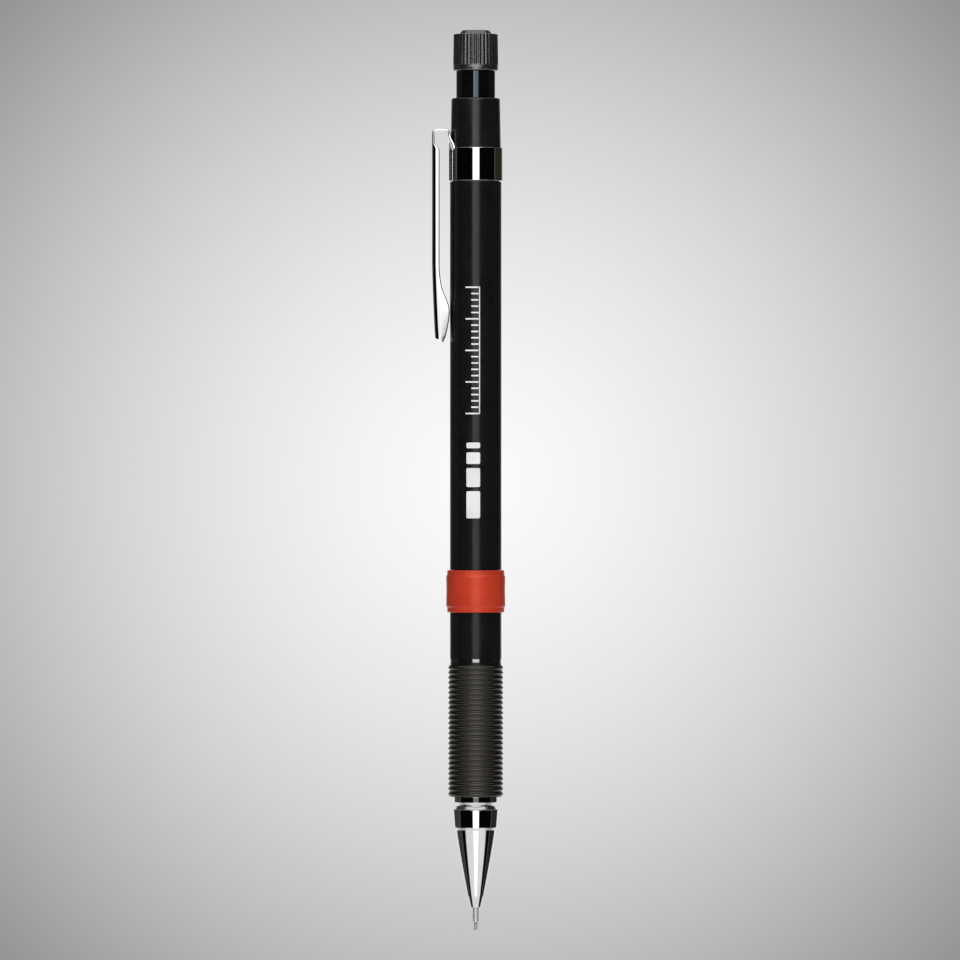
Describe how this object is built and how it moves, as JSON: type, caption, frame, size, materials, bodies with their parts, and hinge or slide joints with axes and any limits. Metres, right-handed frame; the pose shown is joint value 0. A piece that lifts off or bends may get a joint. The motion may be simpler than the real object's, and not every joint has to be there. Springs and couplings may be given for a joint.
{
  "type": "mechanical pencil",
  "caption": "Push-button mechanical pencil with a metal writing tip, ribbed rubber grip, plain round barrel with a coloured ring, sprung pocket clip and fluted pull-off crown.",
  "frame": {"origin": "centre of the lead's flat end, where it meets the paper", "axes": "+Z along the barrel's axis from the writing tip to the crown, -X towards the pocket clip, +Y away from the viewer who sees the clip on the left"},
  "size_m": [0.0116, 0.0094, 0.143],
  "materials": {
    "chrome": "bright nickel-chrome plating, mirror smooth",
    "sleeve_steel": "drawn stainless tube",
    "spring_steel": "drawn spring wire",
    "brass": "turned, bare",
    "graphite": "polymer-bound graphite, slightly shiny",
    "gloss_black": "moulded, high gloss",
    "satin_black": "moulded, softer gloss",
    "grip_rubber": "matt elastomer with fine ribs",
    "retainer_rubber": "matt elastomer",
    "ring_red": "moulded, satin",
    "smoked_tube": "smoked translucent plastic, polished",
    "crown_dark": "moulded, satin",
    "inner_plastic": "moulded, natural",
    "eraser_white": "matt vinyl"
  },
  "bodies": {
    "barrel": {"barrel": "gloss_black", "front_section": "gloss_black", "grip_sleeve": "grip_rubber", "colour_ring": "ring_red", "end_sleeve": "satin_black", "clip_band": "chrome", "clutch_seat": "brass", "return_spring": "spring_steel"},
    "nose": {"nose_cone": "chrome", "lead_sleeve": "sleeve_steel", "lead_retainer": "retainer_rubber"},
    "clip": {"clip_arm": "chrome"},
    "button": {"push_tube": "smoked_tube", "lead_reservoir": "inner_plastic", "chuck_connector": "inner_plastic", "chuck_shank": "brass", "spare_lead_1": "graphite", "spare_lead_2": "graphite", "spare_lead_3": "graphite"},
    "jaw_1": {"chuck_jaw_1": "brass"},
    "jaw_2": {"chuck_jaw_2": "brass"},
    "jaw_3": {"chuck_jaw_3": "brass"},
    "clutch": {"clutch_ring": "brass"},
    "lead": {"working_lead": "graphite"},
    "crown": {"crown_cap": "crown_dark"},
    "eraser": {"eraser": "eraser_white", "eraser_holder": "inner_plastic"}
  },
  "joints": [
    {"name": "button_press", "type": "slide", "parent": "barrel", "child": "button", "axis": [0, 0, -1], "range_m": [0, 0.003], "stiffness_N_per_m": 600, "springref_m": -0.0025, "deforming": ["return_spring"]},
    {"name": "clutch_slide", "type": "slide", "parent": "barrel", "child": "clutch", "axis": [0, 0, -1], "range_m": [0, 0.0006]},
    {"name": "lead_feed", "type": "slide", "parent": "barrel", "child": "lead", "axis": [0, 0, -1], "range_m": [0, 0.0006]},
    {"name": "jaw_1_open", "type": "hinge", "parent": "button", "child": "jaw_1", "pos_m": [0.0006, 0, 0.0201], "axis": [0, -1, 0], "range_deg": [0, 1.2]},
    {"name": "jaw_2_open", "type": "hinge", "parent": "button", "child": "jaw_2", "pos_m": [-0.0003, 0.00052, 0.0201], "axis": [0.866, 0.5, 0], "range_deg": [0, 1.2]},
    {"name": "jaw_3_open", "type": "hinge", "parent": "button", "child": "jaw_3", "pos_m": [-0.0003, -0.00052, 0.0201], "axis": [-0.866, 0.5, 0], "range_deg": [0, 1.2]},
    {"name": "crown_pull", "type": "slide", "parent": "button", "child": "crown", "axis": [0, 0, 1], "range_m": [0, 0.008]},
    {"name": "eraser_pull", "type": "slide", "parent": "button", "child": "eraser", "axis": [0, 0, 1], "range_m": [0, 0.004]},
    {"name": "clip_flex", "type": "hinge", "parent": "barrel", "child": "clip", "pos_m": [-0.0043, 0, 0.1255], "axis": [0, 1, 0], "range_deg": [0, 4], "stiffness_Nm_per_rad": 2.6, "springref_deg": -1.72},
    {"name": "nose_unscrew", "type": "slide", "parent": "barrel", "child": "nose", "axis": [0, 0, -1], "range_m": [0, 0.014]}
  ],
  "couplings": [
    {"joint": "clutch_slide", "follows": "button_press", "ratio": 0.2},
    {"joint": "lead_feed", "follows": "button_press", "ratio": 0.2},
    {"joint": "jaw_1_open", "follows": "button_press", "rad_per_m": 6.98},
    {"joint": "jaw_2_open", "follows": "button_press", "rad_per_m": 6.98},
    {"joint": "jaw_3_open", "follows": "button_press", "rad_per_m": 6.98},
    {"joint": "eraser_pull", "follows": "crown_pull", "ratio": 0.5}
  ]
}
